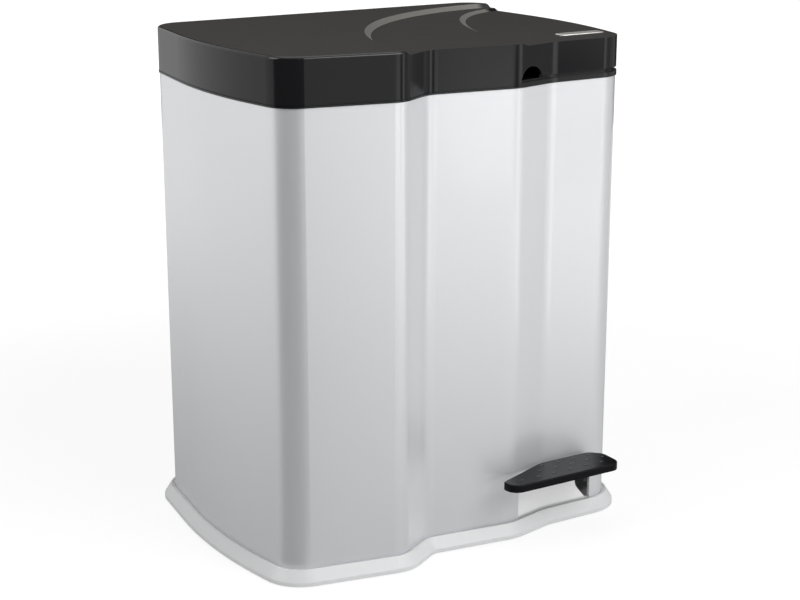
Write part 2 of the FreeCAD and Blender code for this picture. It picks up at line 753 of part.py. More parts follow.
def upper_rim():
    """Frame on the top edge of the steel: a bead outside it, a raised land that the lid's skirt goes
    round, a skirt inside the steel, a lip under the lid, and raised bands at the slit and the hinges."""
    bead = ring(outline, "jacket_top - rim_bead", CAP_TOP, "rim_proud", "seat_gap")
    cap = ring(outline, "jacket_top", CAP_TOP, "rim_proud", "-rim_set_in - rim_wall")
    riser = ring(outline, "jacket_top", "rim_top", "-rim_set_in", "-rim_set_in - rim_wall")
    land = ring(outline, "rim_top - rim_thick", "rim_top", "-rim_set_in", "-rim_land")
    skirt = ring(outline, "rim_top - rim_skirt", "jacket_top + rim_cap / 2",
                 BASE_OUT, f"{BASE_OUT} - rim_wall")
    lip = ring(outline, f"rim_top - {OVER}", "rim_top + rim_lip",
               "-rim_lip_inset", "-rim_lip_inset - rim_wall")
    bands = []
    for zone, top in ((slit_zone, BAND_TOP), (rear_zone, "rim_top")):
        band = ring(outline, "jacket_top", top, "rim_proud", "-rim_set_in - rim_wall / 2")
        bands.append(common(band, zone("lid_gap", f"jacket_top - {OVER}", f"{top} + {OVER}")))
    lugs = [hinge_lug(x) for x in LUG_STARTS]
    holes = [rod("y", (x, f"{WALL_IN} - jacket_screw_long", z), THREAD, "jacket_screw_long")
             for x, z in HIGH_SCREWS]
    seats = [rod("z", (x, y, "rim_top - buffer_stem"), "buffer_stem_radius + screw_gap", "2 * buffer_stem")
             for x, y in BUFFER_PLACES]
    grip = box(("grip_across - grip_radius", "grip_across + grip_radius"),
               (ahead(f"crest_two_ahead + {OVER}"), ahead("crest_two_ahead - rim_grip_deep")),
               ("rim_top", f"rim_top + rim_lip + {OVER}"))
    return cut(fuse(bead, cap, riser, land, skirt, lip, *bands, *lugs),
               fuse(grip, *hinge_bores(), *holes, *seats))


BUFFER_PLACES = [(f"{side} * (rear_corner_across - buffer_in)", ahead("front_right_ahead - buffer_behind"))
                 for side in (-1, 1)]

node("upper_rim", upper_rim())
node("lid_buffers", group([
    turned("lid_buffer", (x, y, "rim_top - buffer_stem"), Vector(0, 0, 1),
           [("buffer_stem_radius", "buffer_stem"), ("buffer_radius", "buffer_proud")])
    for x, y in BUFFER_PLACES]))

node("hinge_pins", group([
    turned("hinge_pin", (f"{side} * (hinge_across - {PIN_REACH} - pin_head)", HINGE_Y, "hinge_height"),
           Vector(side, 0, 0),
           [("pin_head_radius", "pin_head"), ("pin_radius", f"2 * {PIN_REACH} + pin_tail")])
    for side in (-1, 1)]))


def pin_cap(side):
    """Push-on cap that sits against the outer lug, on the tail of its hinge pin."""
    middle = f"{side} * (hinge_across + {PIN_REACH} + pin_cap_width / 2)"
    cap = rod("x", (f"{middle} - pin_cap_width / 2", HINGE_Y, "hinge_height"), "pin_radius + pin_cap_wall",
              "pin_cap_width")
    bore = rod("x", (f"{middle} - pin_cap_width", HINGE_Y, "hinge_height"), "pin_radius", "2 * pin_cap_width")
    return cut(cap, bore)


node("pin_caps", group([pin_cap(side) for side in (-1, 1)]))
for side_name, foot in bucket_feet.items():
    node(f"bucket_{side_name}", bucket(foot))


# ---------------------------------------------------------------------------------------------------
# Lid
# ---------------------------------------------------------------------------------------------------

def disc(shape, x, y, z, sizes, dx=0.0, dy=0.0):
    """A circle or an ellipse laid flat, as one end of a ledge."""
    curve = doc.addObject(f"Part::{shape}", "ledge_curve")
    for name, text in sizes:
        tie(curve, name, text)
    if shape == "Ellipse":
        curve.Placement.Rotation = FreeCAD.Rotation(Vector(0, 0, 1), 90)
    tie(curve, "Placement.Base.x", f"{x} + {dx} * ledge_bevel")
    tie(curve, "Placement.Base.y", f"{y} + {dy} * ledge_bevel")
    tie(curve, "Placement.Base.z", z)
    return curve


# Unit vector towards the widest part of the crescent that each ledge's bevel makes.
CRESCENT = (-0.87, 0.5)


def ledge(shape, x, y, sizes, low, drop):
    """Everything inside a ledge's curve above its floor. The riser leans: its foot is a smaller curve
    shifted away from the crescent, so that the bevel is wide there and thins out to both ends."""
    def level(z, shrink, shift):
        shrunk = [(name, f"{text} - {shrink} * ledge_bevel") for name, text in sizes]
        return disc(shape, x, y, z, shrunk, -CRESCENT[0] * shift, -CRESCENT[1] * shift)
    riser = doc.addObject("Part::Loft", "ledge")
    riser.Sections = [level(low, 1, 1), level(f"{low} + {drop}", 0, 0)]
    riser.Solid = True
    riser.Ruled = True
    above = doc.addObject("Part::Extrusion", "ledge_space")
    above.Base = level(f"{low} + {drop}", 0, 0)
    above.DirMode = "Custom"
    above.Dir = Vector(0, 0, 1)
    above.Solid = True
    tie(above, "LengthFwd", "lid_high")
    return fuse(riser, above)


ROUND_LEDGE = ("Circle", "ledge_one_across", ahead("ledge_one_ahead"), [("Radius", "ledge_one_radius")])
OVAL_LEDGE = ("Ellipse", "ledge_two_across", ahead("ledge_two_ahead"),
              [("MajorRadius", "ledge_two_long"), ("MinorRadius", "ledge_two_short")])
LEVELS = ["lid_top", "(lid_top - ledge_one_drop)", "(lid_top - ledge_one_drop - ledge_two_drop)"]


def lid_block(level, grow, lower, top_round):
    """The lid's outer or inner form up to one level."""
    return rounded_top(prism(outline, lower, level, grow), top_round, level)


def terraced(grow, lower, top_round, sink, spread):
    """A solid with the three levels of the lid. sink lowers them and spread widens the sunk areas."""
    tops = [f"{level} - {sink}" for level in LEVELS]
    blocks = [lid_block(top, grow, lower, top_round) for top in tops]
    drops = ["ledge_one_drop", "ledge_two_drop"]
    cutters = []
    for (shape, x, y, sizes), low, drop in zip((ROUND_LEDGE, OVAL_LEDGE), tops[1:], drops):
        wider = [(name, f"{text} + {spread}") for name, text in sizes]
        cutters.append(ledge(shape, x, y, wider, low, drop))
    return cut(cut(blocks[0], cutters[0]), cutters[1])


def lid_shell():
    """Shell with three levels, a finger notch that runs out into a slit, and the hinge knuckles."""
    outside = terraced("lid_proud", SKIRT_FOOT, "lid_round", "0", "0")
    inside = terraced("lid_proud - lid_wall", f"{SKIRT_FOOT} - {OVER}", "lid_round / 2",
                      "lid_wall", "lid_wall")
    grip = rod("y", ("grip_across", ahead("crest_one_ahead"), BAND_TOP), "grip_radius", "grip_long")
    slit = cut(slit_zone("0", f"{SKIRT_FOOT} - {OVER}", SLIT_TOP),
               prism(outline, f"{SKIRT_FOOT} - 2 * {OVER}", "lid_top", "-rim_lip_inset"))
    relief = rear_zone("0", f"{SKIRT_FOOT} - {OVER}", REAR_SKIRT_FOOT)
    shell = cut(outside, fuse(inside, grip, slit, relief))
    posts = [rod("z", (x, y, "rim_top + buffer_proud + buffer_gap"), "post_radius",
                 f"{level} - lid_wall / 2 - rim_top - buffer_proud - buffer_gap")
             for (x, y), level in zip(BUFFER_PLACES, (LEVELS[0], LEVELS[2]))]
    knuckles = []
    for side in (-1, 1):
        start = f"{side} * hinge_across - knuckle_width / 2"
        end = f"{side} * hinge_across + knuckle_width / 2"
        barrel = rod("x", (start, HINGE_Y, "hinge_height"), "knuckle_radius", "knuckle_width")
        web = box((start, end), (f"{REAR} + rim_proud + {OVER}", f"{HINGE_Y} + pin_radius"),
                  ("hinge_height", "hinge_height + knuckle_web"))
        root = box((start, end), (f"{REAR} - lid_wall / 2", f"{HINGE_Y} + pin_radius"),
                   (f"{REAR_SKIRT_FOOT} + lid_gap", "hinge_height + knuckle_web"))
        knuckles += [barrel, web, root]
    screws = [rod("z", (x, y, CRANK_FOOT_TOP), THREAD, "crank_boss") for x, y in CRANK_SCREWS]
    bosses = [rod("z", (x, y, CRANK_FOOT_TOP), "screw_head_radius", f"crank_boss + {OVER}")
              for x, y in CRANK_SCREWS]
    return cut(fuse(shell, *posts, *bosses, *knuckles), fuse(*hinge_bores(), *screws))


CRANK_SCREWS = [(f"{side} * crank_screw_across", f"{NOSE_Y} - crank_screw_before") for side in (-1, 1)]


def lid_crank():
    """Bracket screwed to bosses under the lid, with the nose that the push rod lifts."""
    front = f"({NOSE_Y} - 2 * crank_screw_before)"
    arm = plate("crank_arm", "YZ_Plane", [
        (f"{NOSE_Y} + crank_nose", f"{NOSE_Z} - crank_nose", f"crank_nose - {HAIR}"),
        (f"{NOSE_Y} + crank_nose", CRANK_FOOT_TOP, "0"),
        (front, CRANK_FOOT_TOP, "0"),
        (front, f"{CRANK_FOOT_LOW} - crank_nose", "crank_foot_round"),
        (f"{NOSE_Y} - crank_nose", f"{NOSE_Z} + crank_waist", "crank_waist_round"),
        (f"{NOSE_Y} - crank_nose", f"{NOSE_Z} - crank_nose", f"crank_nose - {HAIR}")],
        "crank_width", "0")
    flange = box(("-crank_flange_across", "crank_flange_across"), (front, f"{NOSE_Y} + crank_nose"),
                 (CRANK_FOOT_LOW, CRANK_FOOT_TOP))
    holes = [rod("z", (x, y, f"{CRANK_FOOT_LOW} - {OVER}"), PASS, f"crank_flange + 2 * {OVER}")
             for x, y in CRANK_SCREWS]
    return cut(fuse(arm, flange), fuse(*holes))


node("lid_shell", lid_shell())
node("lid_crank", lid_crank())
node("crank_screws", group([
    turned("crank_screw", (x, y, f"{CRANK_FOOT_LOW} - screw_head"), Vector(0, 0, 1),
           [("screw_head_radius", "screw_head"), ("screw_radius", "crank_screw_long")])
    for x, y in CRANK_SCREWS]))


# ---------------------------------------------------------------------------------------------------
# Pedal, levers and push rod
# ---------------------------------------------------------------------------------------------------

PEDAL_CORNERS = [
    ("pedal_left + 0.015 * pedal_long", ahead("pedal_rear + 0.58 * pedal_deep"), "5"),
    ("pedal_left + 0.03 * pedal_long", ahead("pedal_front"), "13"),
    ("pedal_right", ahead("pedal_front"), "11"),
    ("pedal_right", ahead("pedal_rear + 0.28 * pedal_deep"), "12"),
    ("pedal_right - 0.085 * pedal_long", ahead("pedal_rear"), "14"),
    ("pedal_left + 0.47 * pedal_long", ahead("pedal_rear"), "40"),
]


def pedal_pad():
    """Pad with a rounded top edge, open below, with one rib that the arm's flange is screwed to."""
    plan = plane_sketch("pedal_plan", PEDAL_CORNERS)
    block = rounded_top(prism(plan, PAD_LOW, "pedal_top"), "pedal_round", "pedal_top")
    hollow = prism(plan, f"{PAD_LOW} - {OVER}", PAD_CEILING, "-pedal_wall")
    ribs = [box((f"{x} - pedal_rib / 2", f"{x} + pedal_rib / 2"), (ahead("pedal_front"), ahead("pedal_rear")),
                (FLANGE_TOP, f"{PAD_CEILING} + pedal_wall / 2"))
            for x in (f"(pedal_left + (arm_across - pedal_left) * {share} / 4)" for share in (1, 2, 3))]
    seat = box(("arm_across - pedal_seat_left", "arm_across + pedal_seat_right"),
               (ahead("pedal_front - pedal_seat_in"), ahead("pedal_rear + pedal_seat_in")),
               (FLANGE_TOP, f"{PAD_CEILING} + pedal_wall / 2"))
    holes = [rod("z", (x, y, PAD_LOW), THREAD, "pad_screw_long + screw_tip")
             for x, y in PAD_SCREWS]
    notch = box(("arm_across - arm_thick / 2 - seat_gap", "arm_across + arm_thick / 2 + seat_gap"),
                (ahead("pedal_rear + pedal_notch"), ahead(f"pedal_rear - {OVER}")),
                (f"{PAD_LOW} - {OVER}", FLANGE_TOP))
    return cut(fuse(cut(block, hollow), common(fuse(*ribs, seat), block)), fuse(notch, *holes))


PAD_SCREWS = [("arm_across - pad_screw_before_arm",
               ahead(f"pedal_front - (pedal_front - pedal_rear) * {share}")) for share in (0.28, 0.6)]
PAD_LOW = "(pedal_top - pedal_thick)"
PAD_CEILING = "(pedal_top - pedal_wall)"
FLANGE_TOP = f"({PAD_LOW} + arm_flange)"


def pedal_arm():
    """Plate from the cross shaft out through the window, with a flange under the pad."""
    blade = plate("arm_blade", "YZ_Plane", [
        (f"{SHAFT_Y} + arm_boss", "shaft_height - arm_boss", f"arm_boss - {FLAT}"),
        (f"{SHAFT_Y} + arm_boss", "shaft_height + arm_boss", f"arm_boss - {FLAT}"),
        (ahead("front_right_ahead - arm_shoulder_in"), f"{PAD_LOW} - arm_shoulder_drop",
         "arm_shoulder_round"),
        (ahead("pedal_rear + pedal_seat_in"), FLANGE_TOP, "0"),
        (ahead("pedal_front - arm_end_gap"), FLANGE_TOP, "0"),
        (ahead("pedal_front - arm_end_gap"), f"{PAD_LOW} - arm_toe", "arm_toe_round"),
        (ahead("pedal_rear + arm_toe_round"), f"{PAD_LOW} - arm_toe", "arm_toe_round"),
        (ahead("front_right_ahead"), "shaft_height - arm_heel", "arm_heel_round"),
    ], "arm_thick", "arm_across")
    flange = box(("arm_across - pedal_seat_left", "arm_across + arm_thick / 2"),
                 (ahead("pedal_front - arm_end_gap"), ahead(f"pedal_rear + pedal_notch + {OVER}")),
                 (PAD_LOW, FLANGE_TOP))
    holes = [rod("z", (x, y, f"{PAD_LOW} - {OVER}"), PASS, f"arm_flange + 2 * {OVER}") for x, y in PAD_SCREWS]
    eye = rod("x", ("arm_across - arm_thick", SHAFT_Y, "shaft_height"), "shaft_radius", "2 * arm_thick")
    return cut(fuse(blade, flange), fuse(eye, *holes))


def rear_arm():
    """Plate from the cross shaft to the foot of the push rod, flattened at its tip."""
    blade = plate("rear_arm_blade", "YZ_Plane", [
        (f"{SHAFT_Y} - arm_boss", "shaft_height - arm_boss", f"arm_boss - {FLAT}"),
        (f"{SHAFT_Y} + 1.5 * arm_boss", "shaft_height - arm_boss", "rear_arm_round"),
        (f"{ROD_Y} - shoe_before", f"{ARM_TIP_Z} - shoe_deep", "rear_arm_round"),
        (f"{ROD_Y} + shoe_past", f"{ARM_TIP_Z} - shoe_deep", "shoe_round"),
        (f"{ROD_Y} + shoe_past", ARM_TIP_Z, "0"),
        (f"{ROD_Y} - shoe_before", ARM_TIP_Z, "rear_arm_round"),
        (f"{SHAFT_Y} + 1.5 * arm_boss", "shaft_height + arm_boss", "rear_arm_round"),
        (f"{SHAFT_Y} - arm_boss", "shaft_height + arm_boss", f"arm_boss - {FLAT}"),
    ], "rear_arm_thick", "0")
    shoe = box(("-shoe_across", "shoe_across"), (f"{ROD_Y} - shoe_before + {OVER}", f"{ROD_Y} + shoe_past"),
               (f"{ARM_TIP_Z} - shoe_thick", ARM_TIP_Z))
    eye = rod("x", ("-rear_arm_thick", SHAFT_Y, "shaft_height"), "shaft_radius", "2 * rear_arm_thick")
    return cut(fuse(blade, shoe), eye)


BEARING_OUT = "(shaft_radius + bearing_wall)"


def shaft_bearing(x):
    """Nylon block screwed under the deck, with the bore that the cross shaft turns in."""
    low, foot = f"shaft_height - {BEARING_OUT}", f"{DECK_BOTTOM} - bearing_foot"
    waist, ear = f"({BEARING_OUT} + bearing_flare)", "(bearing_screw_apart / 2 + bearing_ear)"
    block = plate("bearing_block", "YZ_Plane", [
        (f"{SHAFT_Y} - {BEARING_OUT}", low, f"{BEARING_OUT} - {FLAT}"),
        (f"{SHAFT_Y} + {BEARING_OUT}", low, f"{BEARING_OUT} - {FLAT}"),
        (f"{SHAFT_Y} + {waist}", foot, "bearing_fillet"),
        (f"{SHAFT_Y} + {ear}", foot, "bearing_ear_round"),
        (f"{SHAFT_Y} + {ear}", DECK_BOTTOM, "0"),
        (f"{SHAFT_Y} - {ear}", DECK_BOTTOM, "0"),
        (f"{SHAFT_Y} - {ear}", foot, "bearing_ear_round"),
        (f"{SHAFT_Y} - {waist}", foot, "bearing_fillet"),
    ], "bearing_width", f"{x} + bearing_width / 2")
    bore = rod("x", (f"{x} - {OVER}", SHAFT_Y, "shaft_height"), "shaft_radius + run_gap",
               f"bearing_width + 2 * {OVER}")
    screws = [rod("z", (place_x, place_y, f"{DECK_BOTTOM} - bearing_foot - {OVER}"), PASS,
                  f"bearing_foot + 2 * {OVER}") for place_x, place_y in bearing_screw_places()]
    return cut(block, fuse(bore, *screws))


node("pedal_pad", pedal_pad())
node("pedal_arm", pedal_arm())
node("pad_screws", group([
    turned("pad_screw", (x, y, f"{PAD_LOW} - screw_head"), Vector(0, 0, 1),
           [("screw_head_radius", "screw_head"), ("screw_radius", "pad_screw_long")])
    for x, y in PAD_SCREWS]))
SHAFT_LEFT = "(-rear_arm_thick / 2 - shaft_past)"
SHAFT_RIGHT = "(arm_across + arm_thick / 2 + shaft_past)"
node("cross_shaft", rod("x", (SHAFT_LEFT, SHAFT_Y, "shaft_height"), "shaft_radius",
                        f"{SHAFT_RIGHT} - {SHAFT_LEFT}"))
node("rear_arm", rear_arm())
node("shaft_bearings", group([shaft_bearing(x) for x in ("bearing_left", "bearing_right")]))
node("bearing_screws", group([
    turned("bearing_screw", (x, y, f"{DECK_BOTTOM} - bearing_foot - screw_head"), Vector(0, 0, 1),
           [("screw_head_radius", "screw_head"),
            ("screw_radius", "bearing_foot + deck_wall - deck_skin - screw_tip")])
    for x, y in bearing_screw_places()]))


def shaft_clip(x):
    """Push-on washer that keeps the shaft from sliding endways."""
    washer = rod("x", (x, SHAFT_Y, "shaft_height"), "shaft_radius + clip_wall", "clip_thick")
    return cut(washer, rod("x", (f"{x} - {OVER}", SHAFT_Y, "shaft_height"), "shaft_radius",
                           f"clip_thick + 2 * {OVER}"))


node("shaft_clips", group([
    shaft_clip("bearing_left - clip_gap - clip_thick"),
    shaft_clip("bearing_right + bearing_width + clip_gap")]))

ROD_FOOT_Z = f"({ARM_TIP_Z} + foot_gap)"
node("push_rod", rod("z", ("0", ROD_Y, f"{ROD_FOOT_Z} + rod_cap_floor"), "rod_radius",
                     f"{ROD_TOP} - {ROD_FOOT_Z} - 2 * rod_cap_floor"))


def rod_cap(end, direction, nose):
    """Nylon cap on an end of the push rod, open towards the rod. nose rounds its working end."""
    solid = turned("rod_cap", ("0", ROD_Y, end), Vector(0, 0, direction),
                   [("rod_cap_radius", "rod_cap_height")], nose)
    low = f"{end} + rod_cap_floor" if direction > 0 else f"{end} - rod_cap_height - {OVER}"
    return cut(solid, rod("z", ("0", ROD_Y, low), "rod_radius", f"rod_cap_height - rod_cap_floor + {OVER}"))


node("rod_head", rod_cap(ROD_TOP, -1, "rod_head_round"))
node("rod_foot", rod_cap(ROD_FOOT_Z, 1, f"rod_cap_height - {FLAT}"))


def rod_bush():
    """Flanged bush in the deck."""
    sleeve = rod("z", ("0", ROD_Y, f"{DECK_BOTTOM} - bush_below"), BUSH_OUT, "deck_wall + bush_below")
    flange = rod("z", ("0", ROD_Y, "deck_top"), f"{BUSH_OUT} + bush_flange", "bush_flange_thick")
    bore = rod("z", ("0", ROD_Y, f"{DECK_BOTTOM} - bush_below - {OVER}"), "rod_radius + run_gap",
               f"deck_wall + bush_below + bush_flange_thick + 2 * {OVER}")
    return cut(fuse(sleeve, flange), bore)


node("rod_bush", rod_bush())


def rod_guide():
    """Bracket on the inside of the rear wall that keeps the top of the push rod upright."""
    high = f"({GUIDE_LOW} + guide_high)"
    back = box(("-guide_across", "guide_across"), (f"{WALL_IN} - guide_back", WALL_IN), (GUIDE_LOW, high))
    web = box(("-rod_radius", "rod_radius"), (ROD_Y, WALL_IN), (GUIDE_LOW, high))
    eye = rod("z", ("0", ROD_Y, GUIDE_LOW), "rod_radius + guide_eye_wall", "guide_high")
    bore = rod("z", ("0", ROD_Y, f"{GUIDE_LOW} - {OVER}"), "rod_radius + run_gap", f"guide_high + 2 * {OVER}")
    screws = [rod("y", (x, f"{WALL_IN} - guide_back - {OVER}", z), THREAD, f"guide_back + 2 * {OVER}")
              for x, z in GUIDE_SCREWS]
    return cut(fuse(back, web, eye), fuse(bore, *screws))


node("rod_guide", rod_guide())
node("guide_screws", group([
    turned("guide_screw", (x, f"{REAR} + screw_head", z), Vector(0, -1, 0),
           [("screw_head_radius", "screw_head"), ("screw_radius", "guide_screw_long")])
    for x, z in GUIDE_SCREWS]))

# ---------------------------------------------------------------------------------------------------
# Check and write
# ---------------------------------------------------------------------------------------------------

doc.recompute()
for thing in doc.Objects:
    if any(state in thing.State for state in ("Invalid", "Error")):
        raise RuntimeError(f"{thing.Name} ({thing.Label}) failed: {thing.State}")
for name, shape in nodes.items():
    if shape.Shape.isNull() or not shape.Shape.isValid():
        raise RuntimeError(f"{name} has no valid shape")
os.makedirs("parts", exist_ok=True)
for name, shape in nodes.items():
    shape.Shape.exportStep(f"parts/{name}.step")
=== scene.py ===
"""Looks of the double recycling bin: finishes for every part of the frame, the small trim that has no
work to do, and a plain studio. Lengths are metres. The bin stands on z = 0 with its front towards -Y.
"""

import math

import bmesh
import bpy
from bpy.props import FloatProperty, FloatVectorProperty, IntProperty, PointerProperty
from mathutils import Euler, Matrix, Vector


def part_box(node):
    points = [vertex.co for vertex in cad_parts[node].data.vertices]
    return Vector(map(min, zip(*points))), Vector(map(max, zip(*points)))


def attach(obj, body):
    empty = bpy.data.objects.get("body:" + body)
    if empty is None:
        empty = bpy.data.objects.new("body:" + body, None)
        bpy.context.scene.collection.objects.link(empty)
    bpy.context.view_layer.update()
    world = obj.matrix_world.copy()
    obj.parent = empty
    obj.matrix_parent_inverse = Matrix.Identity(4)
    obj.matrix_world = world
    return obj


bl_info = {
    "name": "Recycling Bin Looks",
    "version": (1, 0, 0),
    "blender": (4, 5, 0),
    "location": "View3D > Sidebar > Bin",
    "description": "Finishes, trim and studio for the double recycling bin",
    "category": "Object",
}

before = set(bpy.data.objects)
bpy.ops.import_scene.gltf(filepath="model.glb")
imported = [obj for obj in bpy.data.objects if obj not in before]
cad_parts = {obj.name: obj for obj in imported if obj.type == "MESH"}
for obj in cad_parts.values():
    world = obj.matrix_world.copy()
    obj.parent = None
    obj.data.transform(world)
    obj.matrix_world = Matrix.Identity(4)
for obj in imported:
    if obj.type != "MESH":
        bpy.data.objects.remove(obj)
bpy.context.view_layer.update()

MM = 0.001
LID_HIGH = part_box("lid_shell")[1]
PAD_LOW, PAD_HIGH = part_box("pedal_pad")
BODY_LOW, BODY_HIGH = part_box("steel_jacket")
PLINTH_TOP = 16 * MM
LEVELS_DROP = 7 * MM                        # from the lid's highest level to its lowest
BEVELS_ACROSS = (-191 * MM, 191 * MM)       # where the lid's bevels run, clear of its outer edge
BEVELS_ALONG = (-106 * MM, 152 * MM)
BLACK = (0.0, 0.0, 0.0)
WHITE = (1.0, 1.0, 1.0)
CARD_LIFT = 4 * MM                          # above the floor, so that a card covers the table
CARD_STEPS = 24


# ---------------------------------------------------------------------------------------------------
# Sizes and colours that a user would change
# ---------------------------------------------------------------------------------------------------

def colour(name, about, value):
    return FloatVectorProperty(name=name, description=about, subtype="COLOR", default=value,
                               min=0, max=1)


def length(name, about, value):
    return FloatProperty(name=name, description=about, unit="LENGTH", default=value, min=0)


def watts(name, about, value):
    return FloatProperty(name=name, description=about, unit="POWER", default=value, min=0)


class BinColours(bpy.types.PropertyGroup):
    steel: colour("Steel", "Lacquer on the wrapped steel body", (0.80, 0.81, 0.83))
    # Painted light: one white plastic in two copies. The plinth's white is set darker to offset the
    # stronger lamp light on it, and the upstand's is set brighter to offset the shade under the pedal.
    base: colour("Base", "White plastic of the base moulding's plinth", (0.66, 0.665, 0.67))
    upstand_painted_light: colour("Upstand", "Brighter white of the moulding above its plinth", (0.93, 0.93, 0.93))
    lid_side: colour("Lid side", "Glossy black of the lid's skirt", (0.007, 0.007, 0.008))
    lid_top: colour("Lid top", "Grained black of the lid's top", (0.020, 0.018, 0.016))
    # Painted highlight: the bevels' light grey stands in for the light that their slopes reflect.
    bevel_highlight_colour: colour("Ledge", "Polished bevels between the lid's levels", (0.20, 0.19, 0.18))
    pedal: colour("Pedal", "Black plastic of the pedal", (0.005, 0.005, 0.006))
    # The pips are given a lighter black than the pedal.
    pip: colour("Pips", "Pedal plastic that shoes have polished", (0.022, 0.022, 0.024))
    bucket: colour("Bucket", "Dark grey plastic of the inner buckets", (0.055, 0.057, 0.060))
    zinc: colour("Zinc", "Plated steel of the levers and screws", (0.60, 0.62, 0.65))
    nylon: colour("Nylon", "Natural nylon of the bearings and caps", (0.74, 0.72, 0.66))
    badge: colour("Badge", "Satin metal of the blank bar on the lid", (0.72, 0.71, 0.68))


class BinSizes(bpy.types.PropertyGroup):
    badge_long: length("Badge length", "Length of the blank bar", 54 * MM)
    badge_wide: length("Badge width", "Width of the blank bar", 15 * MM)
    badge_thick: length("Badge thickness", "How far the blank bar stands proud", 0.9 * MM)
    badge_from_side: length("Badge from the side", "Its middle, in from the steel's right side", 46 * MM)
    badge_from_front: length("Badge from the front", "Its middle, back from the steel's front", 62 * MM)
    pip_long: length("Pip length", "Length of a grip pip on the pedal", 6.5 * MM)
    pip_wide: length("Pip width", "Width of a grip pip on the pedal", 1.8 * MM)
    pip_high: length("Pip height", "Height of a grip pip on the pedal", 0.5 * MM)
    pip_pitch: length("Pip pitch", "Distance between the pips of a row", 20.5 * MM)
    pip_row_pitch: length("Pip row pitch", "Distance between the rows of pips", 11.5 * MM)
    pip_from_side: length("Pips from the side", "First pip, in from the pedal's right end", 17 * MM)
    pip_from_front: length("Pips from the front", "First row, back from the pedal's front", 12 * MM)
    pip_rows: IntProperty(name="Pip rows", description="Rows of pips along the pedal", default=3, min=1)
    pips_in_row: IntProperty(name="Pips in a row", default=6, min=1,
                             description="In the front row; each row behind has one less")


class BinStudio(bpy.types.PropertyGroup):
    camera_place: FloatVectorProperty(name="Camera", description="Place of the camera", subtype="XYZ",
                                      unit="LENGTH", default=(-0.9191, -1.5436, 0.7499))
    camera_yaw: FloatProperty(name="Yaw", description="Turn of the camera from straight ahead",
                              subtype="ANGLE", default=math.radians(30.88))
    camera_pitch: FloatProperty(name="Pitch", description="Tilt of the camera below level",
                                subtype="ANGLE", default=math.radians(16.07))
    lens: FloatProperty(name="Lens", description="Focal length", unit="CAMERA", default=78.98)
    key_power: watts("Key power", "Power of the front box", 25)
    side_power: watts("Side power", "Power of the left box", 16)
    top_power: watts("Top power", "Power of the top box", 7)
    foot_power: watts("Foot power", "Power of the low front box", 3)
    fill: FloatProperty(name="Fill", description="Strength of the light from all round", default=0.30)


# ---------------------------------------------------------------------------------------------------
# Shader writing
# ---------------------------------------------------------------------------------------------------

class Wire:
    """One output of a shader node, on which Python's operators add Math nodes."""

    def __init__(self, nodes, socket):
        self.nodes = nodes
        self.socket = socket

    def maths(self, operation, first, second):
        """A Math node. Both values may be numbers or wires, and one of them is this wire."""
        return self.nodes.add("ShaderNodeMath", {"operation": operation}, {0: first, 1: second})

    def __add__(self, other):
        return self.maths("ADD", self, other)

    __radd__ = __add__

    def __mul__(self, other):
        return self.maths("MULTIPLY", self, other)

    __rmul__ = __mul__

    def __sub__(self, other):
        return self.maths("SUBTRACT", self, other)

    def __rsub__(self, other):
        return self.maths("SUBTRACT", other, self)

    def ramp(self, low, high):
        """0 below low, 1 above high, smooth between."""
        return self.nodes.add("ShaderNodeMapRange", {"interpolation_type": "SMOOTHSTEP"},
                              {"Value": self, "From Min": low, "From Max": high}, "Result")

    def within(self, low, high, blur):
        """1 between low and high and 0 outside, with edges that are blurred to both sides."""
        return self.ramp(low - blur, low + blur) * (1 - self.ramp(high - blur, high + blur))

    def greater(self, other):
        return self.maths("MAXIMUM", self, other)


class Nodes:
    """A node tree that is being written."""

    def __init__(self, tree):
        self.tree = tree

    def add(self, kind, settings=None, values=None, output=0):
        """The one way that a node is added: settings first, then its sockets' values or links."""
        node = self.tree.nodes.new(kind)
        for name, value in (settings or {}).items():
            setattr(node, name, value)
        for key, value in (values or {}).items():
            self.feed(node.inputs[key], value)
        return Wire(self, node.outputs[output])

    def feed(self, socket, value):
        """Link a wire to a socket or set its value. A colour gets its alpha here."""
        if isinstance(value, Wire):
            self.tree.links.new(value.socket, socket)
        elif isinstance(value, tuple) and len(value) == 3 and len(socket.default_value) == 4:
            socket.default_value = (*value, 1.0)
        else:
            socket.default_value = value

    def ray(self, kind):
        """1 for one kind of ray and 0 for the rest."""
        return self.add("ShaderNodeLightPath", output=f"Is {kind} Ray")


